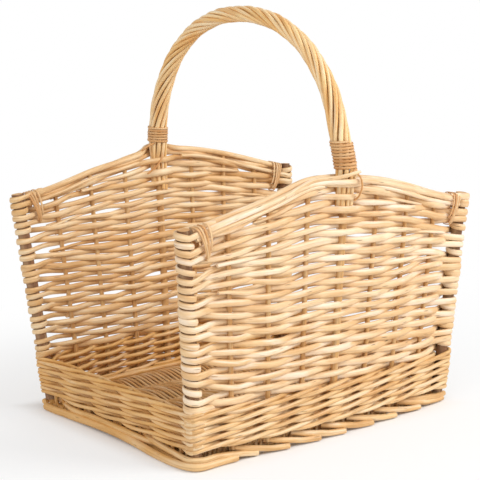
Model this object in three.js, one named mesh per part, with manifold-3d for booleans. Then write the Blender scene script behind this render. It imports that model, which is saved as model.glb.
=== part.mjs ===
// Wicker firewood basket. Two tall woven panels stand between four corner posts, a low waled wall
// runs round all four sides, the floor is woven over five sticks, the foot is a twisted border, and
// a bow handle wound with thin rods springs from the middle of the two panels.
// Millimetres, +Z up, X along the panels, origin on the ground below the middle.
import * as THREE from "three";
import { mergeVertices } from "three/addons/utils/BufferGeometryUtils.js";
import Module from "manifold-3d";

// Fit between rods that bear on each other, and where a rod bends round an upright that leans
const clearance = 0.3;
const bendClearance = 0.6;

// Corner posts: they lean out, so the top is larger than the foot
const postHeight = 302;
const postDiameter = 15;
const postChamfer = 2;
const topLength = 480; // between post centres, along X, at the post tops
const topWidth = 358; // between post centres, along Y, at the post tops
const endLean = 22; // a post leans out this far along X over its height
const sideLean = 19; // and this far along Y
const sideBow = 14; // the long sides bow out this far at mid length

// Upright stakes between the posts
const stakeDiameter = 9;
const stakesPerPanel = 7; // the middle one is the leg of the handle
const stakesPerEnd = 4;
const endStakeDrop = 1.5; // the end stakes are cut off this far below the top of the low wall

// Twisted foot border
const footRodDiameter = 6.2;
const footTwistLength = 130; // along the border for one full turn of the pair
const footOverhang = 6; // the long pairs run this far past the post centres
const groundCut = 0.5; // the border is worn flat this deep where it stands

// Woven floor
const floorStickDiameter = 6;
const floorSticks = 5;
const floorRodDiameter = 4.4;
const floorRowPitch = 11.5;
const floorStickOverhang = 3; // the sticks run this far past the end walls' middle plane

// Low waled wall
const waleRodDiameter = 5.4;
const waleRowGap = 0.5;
const waleRods = 3;
const roundsPerWaleRod = 3;
const waleSkip = 3; // a waling rod goes behind each third stake

// Woven panels
const weaverHeight = 7.8;
const weaverThickness = 5.6;
const weaverRowGap = 1.2; // between rows at the posts, where they lie closest
const weaveStart = 1.5; // from the top of the low wall to the first row
const archRise = 46; // the top of a panel rises this far from the posts to the middle
const rimDiameter = 8;
const rimDrop = 3; // the rim lies this far below the post tops

// Handle
const springLift = 6.4; // the legs turn into the arch this far above the middle of the rim
const handleRise = 204; // from there to the top of the wound handle
const handleStrands = 6;
const strandDiameter = 5;
const strandTurns = 3; // turns of each strand from one leg to the other
const handleSteps = 36;

// Willow bindings
const bindingDiameter = 2.4;
const bindingGap = 1.4; // between neighbouring turns
const frontHandleTurns = 8;
const backHandleTurns = 5;
const cornerTurns = 4;
const cornerSetback = 4; // the corner bindings start this far past the weaver's bend round the post
const turnSteps = 12;
const bindingLift = 6; // the handle bindings start this far above the spring of the arch

// Sides of the faceted sections
const weaverSides = 5;
const waleSides = 5;
const floorSides = 4;
const footSides = 5;
const rimSides = 6;
const strandSides = 4;
const bindingSides = 4;
const stakeSides = 6;
const postSides = 10;

// A faceted section has the area of the round rod that it stands for, so its corners reach further out
function cornerReach(diameter, facets) {
  const wedge = (2 * Math.PI) / facets;
  return (diameter / 2) * Math.sqrt(wedge / Math.sin(wedge));
}
const postRadius = cornerReach(postDiameter, postSides);
const stakeRadius = cornerReach(stakeDiameter, stakeSides);
const footRodRadius = cornerReach(footRodDiameter, footSides);
const floorStickRadius = cornerReach(floorStickDiameter, stakeSides);
const floorRodRadius = cornerReach(floorRodDiameter, floorSides);
const waleRadius = cornerReach(waleRodDiameter, waleSides);
const weaverReach = cornerReach(weaverThickness, weaverSides);
const weaverRise = cornerReach(weaverHeight, weaverSides); // from the middle of a row to its upper edge
const rimRadius = cornerReach(rimDiameter, rimSides);
const strandRadius = cornerReach(strandDiameter, strandSides);
const bindingRadius = cornerReach(bindingDiameter, bindingSides);

// Sizes that follow from the ones above
const eighths = 8;
const eighthTurn = (2 * Math.PI) / eighths;
const wrapSteps = eighths / 2; // they take a weaver half round a post or a stick
const chordOfEighth = Math.cos(eighthTurn / 2); // how near the middle of such a chord comes to the axis

const footTwistRadius = (footRodRadius + clearance / 2) / chordOfEighth;
const footRodDrop = footRodRadius * Math.cos(Math.PI / footSides); // a foot rod is flat below
const footAxisHeight = footTwistRadius + footRodDrop - groundCut;
const footTop = footAxisHeight + footTwistRadius + footRodRadius;
const standHeight = footTop + clearance; // posts and stakes stand here on the foot

const floorHeight = standHeight + floorStickRadius; // axis of the floor sticks
const waleBottom = floorHeight + floorStickRadius + clearance;
const walePitch = waleRodDiameter + waleRowGap;
const waleRows = waleRods * roundsPerWaleRod;
const waleTop = waleBottom + waleRows * walePitch;

const panelSpan = stakesPerPanel + 1; // stake spaces from post to post
const rimEndHeight = postHeight - rimDrop - rimRadius;
const firstRowHeight = waleTop + weaveStart + weaverRise;
const rimSlope = Math.hypot(1, (4 * archRise) / topLength); // a sloping rod takes up more height by this
const rimCrossing = (rimRadius + clearance) * rimSlope; // lift of a rim rod over its fellow
const rimToLastRow = rimCrossing + (rimRadius + weaverRise) * rimSlope + clearance;
const bindingRoom = 2 * (bindingRadius + clearance); // the last row is set apart by this for the binding

// Colours and surface of the peeled and the barked willow
function willow(colour, roughness) {
  return new THREE.MeshStandardMaterial({ color: colour, roughness, metalness: 0 });
}
const paleWillow = willow(0xe3bf88, 0.55);
const goldenWillow = willow(0xd8a863, 0.5);
const brownWillow = willow(0xc2914f, 0.6);
const barkedWillow = willow(0x75573c, 0.75);
const splitWillow = willow(0xbf8345, 0.55);

// The wall's middle surface: half length and half width at a height, and points on the four walls
function halfLength(height) {
  return topLength / 2 - endLean * (1 - height / postHeight);
}
function halfWidth(height) {
  return topWidth / 2 - sideLean * (1 - height / postHeight);
}
// A point of a long wall: side is -1 for the front and 1 for the back, along runs from -1 to 1
function onPanel(side, along, height, outwards) {
  const bow = sideBow * (1 - along * along);
  const y = halfWidth(height) + bow + outwards;
  return new THREE.Vector3(along * halfLength(height), side * y, height);
}
// A point of an end wall: side is -1 for the left and 1 for the right
function onEnd(side, along, height, outwards) {
  const x = halfLength(height) + outwards;
  return new THREE.Vector3(side * x, along * halfWidth(height), height);
}
function rimHeight(along) {
  return rimEndHeight + archRise * (1 - along * along);
}
// The height of a rod that runs straight from place to place along a panel
function straightHeight(heightAt, along) {
  const place = ((along + 1) * panelSpan) / 2;
  const before = Math.min(Math.floor(place), panelSpan - 1);
  const from = heightAt((2 * before) / panelSpan - 1);
  const to = heightAt((2 * before + 2) / panelSpan - 1);
  return from + (to - from) * (place - before);
}
function lastRowHeight(along) {
  return rimHeight(along) - rimToLastRow;
}
// The crest of a rod that bends round uprights set a spacing apart, so that its straight runs clear them
function crestFor(uprightRadius, rodHalfThickness, spacing) {
  const reach = uprightRadius + rodHalfThickness + bendClearance;
  return (reach * spacing) / Math.sqrt(spacing * spacing - 4 * reach * reach);
}

// A rod's path through its bends, one ring of the rod at each point
class RodPath extends THREE.Curve {
  constructor(points) {
    super();
    this.points = points;
  }
  indexAt(share) {
    return Math.round(share * (this.points.length - 1));
  }
  getPoint(share, target = new THREE.Vector3()) {
    return target.copy(this.points[this.indexAt(share)]);
  }
  getPointAt(share, target) {
    return this.getPoint(share, target);
  }
  getTangentAt(share, target = new THREE.Vector3()) {
    const index = this.indexAt(share);
    const here = this.points[index];
    const before = this.points[Math.max(index - 1, 0)];
    const after = this.points[Math.min(index + 1, this.points.length - 1)];
    const arriving = here.clone().sub(before).normalize();
    const leaving = after.clone().sub(here).normalize();
    return target.copy(arriving.add(leaving).normalize());
  }
}

// The same path for a rod whose section stays upright, as in a flat row of weaving
class LevelRodPath extends RodPath {
  computeFrenetFrames(steps) {
    const up = new THREE.Vector3(0, 0, 1);
    const frames = { tangents: [], normals: [], binormals: [] };
    for (let step = 0; step <= steps; step += 1) {
      const tangent = this.getTangentAt(step / steps);
      const normal = up.clone().addScaledVector(tangent, -up.dot(tangent)).normalize();
      frames.tangents.push(tangent);
      frames.normals.push(normal);
      frames.binormals.push(tangent.clone().cross(normal));
    }
    return frames;
  }
}

// A faceted oval section, x across the first half size and y across the second
function ovalSection(halfX, halfY, facets) {
  const corners = [];
  for (let corner = 0; corner < facets; corner += 1) {
    const angle = (2 * Math.PI * (corner + 0.5)) / facets;
    corners.push(new THREE.Vector2(halfX * Math.cos(angle), halfY * Math.sin(angle)));
  }
  return new THREE.Shape(corners);
}
function rodAlong(path, section) {
  return new THREE.ExtrudeGeometry(section, {
    steps: path.points.length - 1,
    extrudePath: path,
    bevelEnabled: false,
  });
}
function roundRod(points, radius, facets) {
  return rodAlong(new RodPath(points), ovalSection(radius, radius, facets));
}
// A rod with a corner of its section up and a flat down
function levelRod(points, halfHeight, halfThickness, facets) {
  return rodAlong(new LevelRodPath(points), ovalSection(-halfHeight, halfThickness, facets));
}
function piece(name, geometry, material) {
  const mesh = new THREE.Mesh(geometry, material);
  mesh.name = name;
  return mesh;
}

// A straight upright or stick, placed and turned to run from one point to the other
function straightPiece(name, from, to, geometryOfLength, material) {
  const run = to.clone().sub(from);
  const mesh = piece(name, geometryOfLength(run.length()), material);
  mesh.position.copy(from);
  mesh.quaternion.setFromUnitVectors(new THREE.Vector3(0, 1, 0), run.normalize());
  return mesh;
}
function stakeGeometry(radius) {
  return (length) => {
    const rod = new THREE.CylinderGeometry(radius, radius, length, stakeSides);
    return rod.translate(0, length / 2, 0);
  };
}
function postGeometry(length) {
  const profile = [
    new THREE.Vector2(0, 0),
    new THREE.Vector2(postRadius, 0),
    new THREE.Vector2(postRadius, length - postChamfer),
    new THREE.Vector2(postRadius - postChamfer, length),
    new THREE.Vector2(0, length),
  ];
  return new THREE.LatheGeometry(profile, postSides);
}

// Joining and cutting of closed solids
const wasm = await Module();
wasm.setup();
function solidFrom(geometry) {
  const bare = geometry.clone();
  bare.deleteAttribute("normal");
  bare.deleteAttribute("uv");
  const merged = mergeVertices(bare, 1e-3);
  const vertProperties = new Float32Array(merged.attributes.position.array);
  const triVerts = new Uint32Array(merged.index.array);
  return new wasm.Manifold(new wasm.Mesh({ numProp: 3, vertProperties, triVerts }));
}
function geometryFrom(solid) {
  const mesh = solid.getMesh();
  const geometry = new THREE.BufferGeometry();
  geometry.setAttribute("position", new THREE.BufferAttribute(mesh.vertProperties, 3));
  geometry.setIndex(new THREE.BufferAttribute(mesh.triVerts, 1));
  return geometry;
}

// The least gap of a winding to itself, measured between points more than half a turn apart
function leastGap(points, radius, pointsPerTurn) {
  const strides = 4; // points measured on each straight run
  const shareApart = 0.6; // of a turn
  const dense = [];
  for (let step = 0; step < points.length - 1; step += 1) {
    for (let stride = 0; stride < strides; stride += 1) {
      dense.push(points[step].clone().lerp(points[step + 1], stride / strides));
    }
  }
  const apart = Math.round(pointsPerTurn * strides * shareApart);
  let least = Infinity;
  for (let first = 0; first < dense.length; first += 1) {
    for (let second = first + apart; second < dense.length; second += 1) {
      least = Math.min(least, dense[first].distanceTo(dense[second]));
    }
  }
  return least - 2 * radius;
}

const sides = [
  { name: "front", sign: -1 },
  { name: "back", sign: 1 },
];
const ends = [
  { name: "left", sign: -1 },
  { name: "right", sign: 1 },
];

// Posts and stakes
function uprights() {
  const group = new THREE.Group();
  const middle = (stakesPerPanel + 1) / 2;
  for (const side of sides) {
    for (const end of ends) {
      const from = onPanel(side.sign, end.sign, standHeight, 0);
      const to = onPanel(side.sign, end.sign, postHeight, 0);
      group.add(straightPiece(`${side.name}_${end.name}_post`, from, to, postGeometry, barkedWillow));
    }
    for (let stake = 1; stake <= stakesPerPanel; stake += 1) {
      if (stake === middle) continue;
      const along = (2 * stake) / panelSpan - 1;
      const from = onPanel(side.sign, along, standHeight, 0);
      const to = onPanel(side.sign, along, rimHeight(along), 0);
      const name = `${side.name}_stake_${stake}`;
      group.add(straightPiece(name, from, to, stakeGeometry(stakeRadius), brownWillow));
    }
  }
  for (const end of ends) {
    for (let stake = 1; stake <= stakesPerEnd; stake += 1) {
      const along = (2 * stake) / (stakesPerEnd + 1) - 1;
      const from = onEnd(end.sign, along, standHeight, 0);
      const to = onEnd(end.sign, along, waleTop - endStakeDrop, 0);
      const name = `${end.name}_end_stake_${stake}`;
      group.add(straightPiece(name, from, to, stakeGeometry(stakeRadius), brownWillow));
    }
  }
  return group;
}

// Where the weaver goes round a post
const postWrapRadius = (postRadius + weaverReach + bendClearance) / chordOfEighth;

// One unbroken weaver per panel: over one stake and under the next, round the end post and back again
function panelWeave(side) {
  const spacing = (2 * halfLength(firstRowHeight)) / panelSpan;
  const crest = crestFor(stakeRadius, weaverReach, spacing);
  const lowestTop = lastRowHeight(1) - bindingRoom;
  const rows = Math.floor((lowestTop - firstRowHeight) / (weaverHeight + weaverRowGap)) + 1;
  const rowHeight = (row, along) => {
    const top = lastRowHeight(along) - bindingRoom;
    const level = firstRowHeight + (top - firstRowHeight) * (row / (rows - 1));
    return row === rows - 1 ? level + bindingRoom : level;
  };
  const points = [];
  for (let row = 0; row < rows; row += 1) {
    const heading = row % 2 === 0 ? 1 : -1;
    for (let place = 1; place < panelSpan; place += 1) {
      const along = heading * ((2 * place) / panelSpan - 1);
      const outside = (row + place) % 2 === 0 ? 1 : -1;
      points.push(onPanel(side, along, rowHeight(row, along), outside * crest));
    }
    const arriving = row % 2 === 0 ? 1 : -1;
    const lastWrapStep = row === rows - 1 ? 0 : wrapSteps;
    const rise = row === rows - 1 ? 0 : rowHeight(row + 1, 1) - rowHeight(row, 1);
    for (let step = 0; step <= lastWrapStep; step += 1) {
      const angle = arriving * (2 - step) * eighthTurn;
      const height = rowHeight(row, 1) + (rise * step) / wrapSteps;
      const post = onPanel(side, heading, height, 0);
      post.x += heading * postWrapRadius * Math.cos(angle);
      post.y += side * postWrapRadius * Math.sin(angle);
      points.push(post);
    }
  }
  return levelRod(points, weaverRise, weaverReach, weaverSides);
}

// The two rim rods of a panel: they end side by side at the posts and twist round the stakes between
function rimRod(side, startsOutside) {
  const spacing = (2 * halfLength(rimEndHeight)) / panelSpan;
  const crest = crestFor(stakeRadius, rimRadius, spacing);
  const beside = rimRadius + clearance / 2;
  const endLean = rimRadius * Math.sqrt(1 - 1 / (rimSlope * rimSlope)); // the cut end of a sloping rod
  const endInset = (postRadius + endLean + clearance) / halfLength(rimEndHeight);
  const boundInset = (cornerBindingStart + cornerBindingWidth) / halfLength(rimEndHeight);
  const points = [];
  const add = (along, outwards, lift) => {
    points.push(onPanel(side, along, rimHeight(along) + lift, outwards));
  };
  let outside = startsOutside ? 1 : -1;
  add(-1 + endInset, outside * beside, 0);
  add(-1 + boundInset, outside * beside, 0);
  for (let place = 1; place < panelSpan; place += 1) {
    add((2 * place) / panelSpan - 1, outside * crest, 0);
    if (place < panelSpan - 1) {
      add((2 * place + 1) / panelSpan - 1, 0, outside * rimCrossing);
      outside = -outside;
    }
  }
  add(1 - boundInset, outside * beside, 0);
  add(1 - endInset, outside * beside, 0);
  return roundRod(points, rimRadius, rimSides);
}

// A binding beside a post: loops over the rim pair and under the last row, side by side along the rim
const cornerBindingPitch = bindingDiameter + bindingGap;
const cornerBindingWidth = cornerTurns * cornerBindingPitch + bindingDiameter;
const cornerBindingDrop = (weaverHeight + weaverRowGap + bindingRoom) / 2; // midway below the last row
const cornerBindingStart = postWrapRadius + weaverReach + bindingRadius + cornerSetback;
function cornerBinding(side, end) {
  const slack = 2 * bendClearance;
  const halfSpan = 2 * rimRadius + bindingRadius + clearance + slack;
  const steps = cornerTurns * turnSteps;
  const points = [];
  for (let step = 0; step <= steps; step += 1) {
    const turn = step / turnSteps;
    const angle = 2 * Math.PI * turn;
    const inset = (cornerBindingStart + turn * cornerBindingPitch) / halfLength(rimEndHeight);
    const along = 1 - inset;
    const top = rimHeight(along) + rimRadius + bindingRadius + clearance + slack;
    const bottom = straightHeight(lastRowHeight, along) - cornerBindingDrop;
    const across = Math.cbrt(Math.cos(angle));
    const upright = Math.cbrt(Math.sin(angle));
    const height = (top + bottom) / 2 + ((top - bottom) / 2) * upright;
    const place = onPanel(side, along * end, rimHeight(along), halfSpan * across);
    points.push(new THREE.Vector3(place.x, place.y, height));
  }
  const gap = leastGap(points, bindingRadius, turnSteps);
  return { geometry: roundRod(points, bindingRadius, bindingSides), gap };
}

function panels() {
  const group = new THREE.Group();
  for (const side of sides) {
    group.add(piece(`${side.name}_weave`, panelWeave(side.sign), paleWillow));
    group.add(piece(`${side.name}_rim_outer`, rimRod(side.sign, true), paleWillow));
    group.add(piece(`${side.name}_rim_inner`, rimRod(side.sign, false), paleWillow));
    for (const end of ends) {
      const name = `${side.name}_${end.name}_binding`;
      const binding = cornerBinding(side.sign, end.sign);
      group.add(piece(name, binding.geometry, splitWillow));
      console.log(`${name}: least gap to itself ${binding.gap.toFixed(2)} mm`);
    }
  }
  return group;
}

// The stations that a waling rod passes in one round, seen from above: back, left, front, right.
// A stake station has a crest to go in front of or behind; a corner is three points round the post.
function waleStations() {
  const stations = [];
  const cornerRadius = (postRadius + waleRadius + bendClearance) / chordOfEighth;
  const panelCrest = crestFor(stakeRadius, waleRadius, (2 * halfLength(waleBottom)) / panelSpan);
  const endCrest = crestFor(stakeRadius, waleRadius, (2 * halfWidth(waleBottom)) / (stakesPerEnd + 1));
  const addCorner = (side, end, firstAngle) => {
    for (let step = 0; step <= 2; step += 1) {
      const angle = firstAngle + step * eighthTurn;
      stations.push((height) => {
        const post = onPanel(side, end, height, 0);
        post.x += cornerRadius * Math.cos(angle);
        post.y += cornerRadius * Math.sin(angle);
        return post;
      });
    }
  };
  const addPanel = (side, heading) => {
    for (let place = 1; place < panelSpan; place += 1) {
      const along = heading * ((2 * place) / panelSpan - 1);
      stations.push((height, outside) => onPanel(side, along, height, outside * panelCrest));
      stations[stations.length - 1].isStake = true;
    }
  };
  const addEnd = (side, heading) => {
    for (let place = 1; place <= stakesPerEnd; place += 1) {
      const along = heading * ((2 * place) / (stakesPerEnd + 1) - 1);
      stations.push((height, outside) => onEnd(side, along, height, outside * endCrest));
      stations[stations.length - 1].isStake = true;
    }
  };
  addPanel(1, -1);
  addCorner(1, -1, Math.PI / 2);
  addEnd(-1, -1);
  addCorner(-1, -1, Math.PI);
  addPanel(-1, 1);
  addCorner(-1, 1, 1.5 * Math.PI);
  addEnd(1, 1);
  addCorner(1, 1, 0);
  return stations;
}
function lowWall() {
  const group = new THREE.Group();
  const stations = waleStations();
  const names = ["lower", "middle", "upper"];
  let stakeCount = 0;
  for (let rod = 0; rod < waleRods; rod += 1) {
    const points = [];
    for (let round = 0; round < roundsPerWaleRod; round += 1) {
      const row = rod * roundsPerWaleRod + round;
      const height = waleBottom + walePitch * (row + 0.5);
      for (const station of stations) {
        const outside = stakeCount % waleSkip === 0 ? -1 : 1;
        points.push(station(height, outside));
        if (station.isStake) stakeCount += 1;
      }
    }
    const geometry = levelRod(points, waleRadius, waleRadius, waleSides);
    group.add(piece(`wale_rod_${names[rod]}`, geometry, goldenWillow));
  }
  return group;
}

// Floor: sticks along X that rest on the foot, and one unbroken rod woven across them
const sideWallCrest = crestFor(stakeRadius, waleRadius, (2 * halfLength(floorHeight)) / panelSpan);
const endWallCrest = crestFor(stakeRadius, waleRadius, (2 * halfWidth(floorHeight)) / (stakesPerEnd + 1));
const floorEdge = halfWidth(floorHeight) - sideWallCrest - waleRadius;
const floorLoopRadius = (floorStickRadius + floorRodRadius + clearance) / chordOfEighth;
const outerStickPlace = floorEdge - clearance - floorLoopRadius - floorRodRadius;
const stickSpacing = (2 * outerStickPlace) / (floorSticks - 1);
function floorWeave() {
  const crest = crestFor(floorStickRadius, floorRodRadius, stickSpacing);
  const reach = halfLength(floorHeight) - endWallCrest - waleRadius - floorRodRadius - 2 * clearance;
  const rows = Math.floor((2 * reach) / floorRowPitch) + 1;
  const points = [];
  for (let row = 0; row < rows; row += 1) {
    const heading = row % 2 === 0 ? 1 : -1;
    const x = (row - (rows - 1) / 2) * floorRowPitch;
    for (let stick = 1; stick < floorSticks - 1; stick += 1) {
      const above = (row + stick) % 2 === 0 ? 1 : -1;
      const y = heading * (stick * stickSpacing - outerStickPlace);
      points.push(new THREE.Vector3(x, y, floorHeight + above * crest));
    }
    const isLast = row === rows - 1;
    const arriving = (row + floorSticks - 1) % 2 === 0 ? 1 : -1;
    for (let step = 0; step <= (isLast ? 0 : wrapSteps); step += 1) {
      const angle = arriving * (2 - step) * eighthTurn;
      const y = heading * (outerStickPlace + floorLoopRadius * Math.cos(angle));
      const z = floorHeight + floorLoopRadius * Math.sin(angle);
      points.push(new THREE.Vector3(x + (floorRowPitch * step) / wrapSteps, y, z));
    }
  }
  return roundRod(points, floorRodRadius, floorSides);
}
function floor() {
  const group = new THREE.Group();
  const stickReach = halfLength(floorHeight) + floorStickOverhang;
  for (let stick = 0; stick < floorSticks; stick += 1) {
    const y = stick * stickSpacing - outerStickPlace;
    const from = new THREE.Vector3(-stickReach, y, floorHeight);
    const to = new THREE.Vector3(stickReach, y, floorHeight);
    const name = `floor_stick_${stick + 1}`;
    group.add(straightPiece(name, from, to, stakeGeometry(floorStickRadius), brownWillow));
  }
  group.add(piece("floor_weave", floorWeave(), brownWillow));
  return group;
}

// Foot: a twisted pair of rods under each wall, worn flat where it stands on the ground
function footRod(placeAt, length, phase) {
  const halfSteps = Math.round((eighths * length) / (2 * footTwistLength));
  const steps = 2 * halfSteps;
  const points = [];
  for (let step = 0; step <= steps; step += 1) {
    const angle = phase + (step - halfSteps) * eighthTurn;
    const outwards = footTwistRadius * Math.cos(angle);
    const height = footAxisHeight + footTwistRadius * Math.sin(angle);
    points.push(placeAt((2 * step) / steps - 1, outwards).setZ(height));
  }
  const rod = solidFrom(levelRod(points, footRodRadius, footRodRadius, footSides));
  const groundSize = 2 * topLength;
  const ground = new THREE.BoxGeometry(groundSize, groundSize, groundSize).translate(0, 0, -groundSize / 2);
  return geometryFrom(rod.subtract(solidFrom(ground)));
}
function foot() {
  const group = new THREE.Group();
  const longReach = (halfLength(footAxisHeight) + footOverhang) / halfLength(footAxisHeight);
  const pairRadius = footTwistRadius + footRodRadius;
  const shortReach = (halfWidth(footAxisHeight) - pairRadius - bendClearance) / halfWidth(footAxisHeight);
  const longLength = 2 * longReach * halfLength(footAxisHeight);
  const shortLength = 2 * shortReach * halfWidth(footAxisHeight);
  for (let strand = 1; strand <= 2; strand += 1) {
    const phase = -Math.PI / 2 + (strand - 1) * Math.PI;
    for (const side of sides) {
      const placeAt = (share, outwards) => onPanel(side.sign, share * longReach, footAxisHeight, outwards);
      const rod = footRod(placeAt, longLength, phase);
      group.add(piece(`${side.name}_foot_rod_${strand}`, rod, goldenWillow));
    }
    for (const end of ends) {
      const placeAt = (share, outwards) => onEnd(end.sign, share * shortReach, footAxisHeight, outwards);
      const rod = footRod(placeAt, shortLength, phase);
      group.add(piece(`${end.name}_foot_rod_${strand}`, rod, goldenWillow));
    }
  }
  return group;
}

// Handle: a bow whose legs are the middle stakes, wound with strands, and bound above each rim
const strandLayRadius = stakeRadius + strandRadius + clearance;
const woundRadius = strandLayRadius + strandRadius;
const springHeight = rimHeight(0) + springLift;
const archHalfWidth = halfWidth(springHeight) + sideBow;
const archHeight = handleRise - woundRadius;
// A point of the arch: turn runs from 0 at the front leg to pi at the back leg
function onArch(turn, outwards, sideways) {
  const out = new THREE.Vector2(-archHeight * Math.cos(turn), archHalfWidth * Math.sin(turn)).normalize();
  const y = -archHalfWidth * Math.cos(turn) + outwards * out.x;
  const z = springHeight + archHeight * Math.sin(turn) + outwards * out.y;
  return new THREE.Vector3(sideways, y, z);
}
function handleBow() {
  const points = [onPanel(-1, 0, standHeight, 0)];
  for (let step = 0; step <= handleSteps; step += 1) {
    points.push(onArch((Math.PI * step) / handleSteps, 0, 0));
  }
  points.push(onPanel(1, 0, standHeight, 0));
  return roundRod(points, stakeRadius, stakeSides);
}
function handleStrand(strand) {
  const points = [];
  for (let step = 0; step <= handleSteps; step += 1) {
    const share = step / handleSteps;
    const angle = 2 * Math.PI * (strand / handleStrands + share * strandTurns);
    const outwards = strandLayRadius * Math.cos(angle);
    const sideways = strandLayRadius * Math.sin(angle);
    points.push(onArch(Math.PI * share, outwards, sideways));
  }
  return roundRod(points, strandRadius, strandSides);
}
function handleBinding(side, turns) {
  const halfStep = Math.PI / turnSteps;
  const radius = (woundRadius + bindingRadius + clearance) / Math.cos(halfStep);
  const pitch = (bindingDiameter + bindingGap) / archHeight;
  const start = bindingLift / archHeight;
  const points = [];
  for (let step = 0; step <= turns * turnSteps; step += 1) {
    const angle = 2 * halfStep * step;
    const rise = start + (pitch * step) / turnSteps;
    const turn = side < 0 ? rise : Math.PI - rise;
    points.push(onArch(turn, radius * Math.cos(angle), radius * Math.sin(angle)));
  }
  const gap = leastGap(points, bindingRadius, turnSteps);
  return { geometry: roundRod(points, bindingRadius, bindingSides), gap };
}
function handle() {
  const group = new THREE.Group();
  group.add(piece("handle_bow", handleBow(), brownWillow));
  for (let strand = 1; strand <= handleStrands; strand += 1) {
    group.add(piece(`handle_strand_${strand}`, handleStrand(strand), goldenWillow));
  }
  for (const side of sides) {
    const turns = side.sign < 0 ? frontHandleTurns : backHandleTurns;
    const binding = handleBinding(side.sign, turns);
    const name = `${side.name}_handle_binding`;
    group.add(piece(name, binding.geometry, splitWillow));
    console.log(`${name}: least gap to itself ${binding.gap.toFixed(2)} mm`);
  }
  return group;
}

const basket = new THREE.Group();
basket.add(uprights(), panels(), lowWall(), floor(), foot(), handle());
export default basket;
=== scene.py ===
"""Dresses the wicker firewood basket: every rod of willow, its bindings, finishes and studio."""
import logging
import math
import random
from dataclasses import dataclass, field
from enum import Enum

import bmesh
import bpy
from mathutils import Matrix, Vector


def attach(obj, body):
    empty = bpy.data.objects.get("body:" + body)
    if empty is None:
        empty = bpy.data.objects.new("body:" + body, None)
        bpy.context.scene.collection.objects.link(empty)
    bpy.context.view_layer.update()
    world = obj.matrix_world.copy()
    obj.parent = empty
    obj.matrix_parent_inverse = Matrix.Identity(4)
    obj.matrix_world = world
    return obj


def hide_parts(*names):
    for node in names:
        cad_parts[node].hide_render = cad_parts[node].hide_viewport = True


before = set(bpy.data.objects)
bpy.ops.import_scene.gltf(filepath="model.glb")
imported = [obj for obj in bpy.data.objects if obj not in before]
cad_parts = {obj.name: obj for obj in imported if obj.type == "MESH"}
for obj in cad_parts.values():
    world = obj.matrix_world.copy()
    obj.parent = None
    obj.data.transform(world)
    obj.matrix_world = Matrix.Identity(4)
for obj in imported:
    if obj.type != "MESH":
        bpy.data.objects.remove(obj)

log = logging.getLogger("basket")
MM = 0.001
UP = Vector((0.0, 0.0, 1.0))
Pair = tuple[float, float]
Triple = tuple[float, float, float]
Laid = tuple[Triple, ...]
Socket = bpy.types.NodeSocket
Inputs = dict[str | int, object]


class Side(Enum):
    """The two long walls; the value is the sign of Y."""

    FRONT = -1
    BACK = 1


class End(Enum):
    """The two short walls; the value is the sign of X."""

    LEFT = -1
    RIGHT = 1


class Lay(Enum):
    """How a rod's section is held along its path."""

    LEVEL = "level"
    FREE = "free"


def srgb(hex_colour: str) -> Triple:
    """Turns a written colour into linear light.

    Args:
        hex_colour: Six hexadecimal digits.

    Returns:
        Red, green and blue as linear values.
    """
    values = [int(hex_colour[i:i + 2], 16) / 255 for i in (0, 2, 4)]
    linear = [v / 12.92 if v <= 0.04045 else ((v + 0.055) / 1.055) ** 2.4 for v in values]
    return linear[0], linear[1], linear[2]


def clamp(value: float) -> float:
    """Holds a value between 0 and 1."""
    return min(max(value, 0.0), 1.0)


def ease(value: float, low: float, high: float) -> float:
    """Runs smoothly from 0 at low to 1 at high."""
    share = clamp((value - low) / (high - low))
    return share * share * (3 - 2 * share)


def signed_power(value: float, power: float) -> float:
    """Raises a value to a power and keeps its sign."""
    return math.copysign(abs(value) ** power, value)


def taper(count: int, butt: float, tip: float) -> list[float]:
    """Gives sizes that run evenly from the butt to the tip."""
    return [butt + (tip - butt) * index / max(count - 1, 1) for index in range(count)]


def flowing(points: list[Vector], steps: int) -> list[Vector]:
    """Runs a smooth path through points.

    Args:
        points: The points to pass.
        steps: Steps from one point to the next.

    Returns:
        The path.
    """
    path = []
    for index in range(len(points) - 1):
        before = points[max(index - 1, 0)]
        start, stop = points[index], points[index + 1]
        after = points[min(index + 2, len(points) - 1)]
        for step in range(steps):
            t = step / steps
            path.append(0.5 * (2 * start + (stop - before) * t
                               + (2 * before - 5 * start + 4 * stop - after) * t * t
                               + (3 * start - before - 3 * stop + after) * t ** 3))
    path.append(points[-1].copy())
    return path


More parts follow.
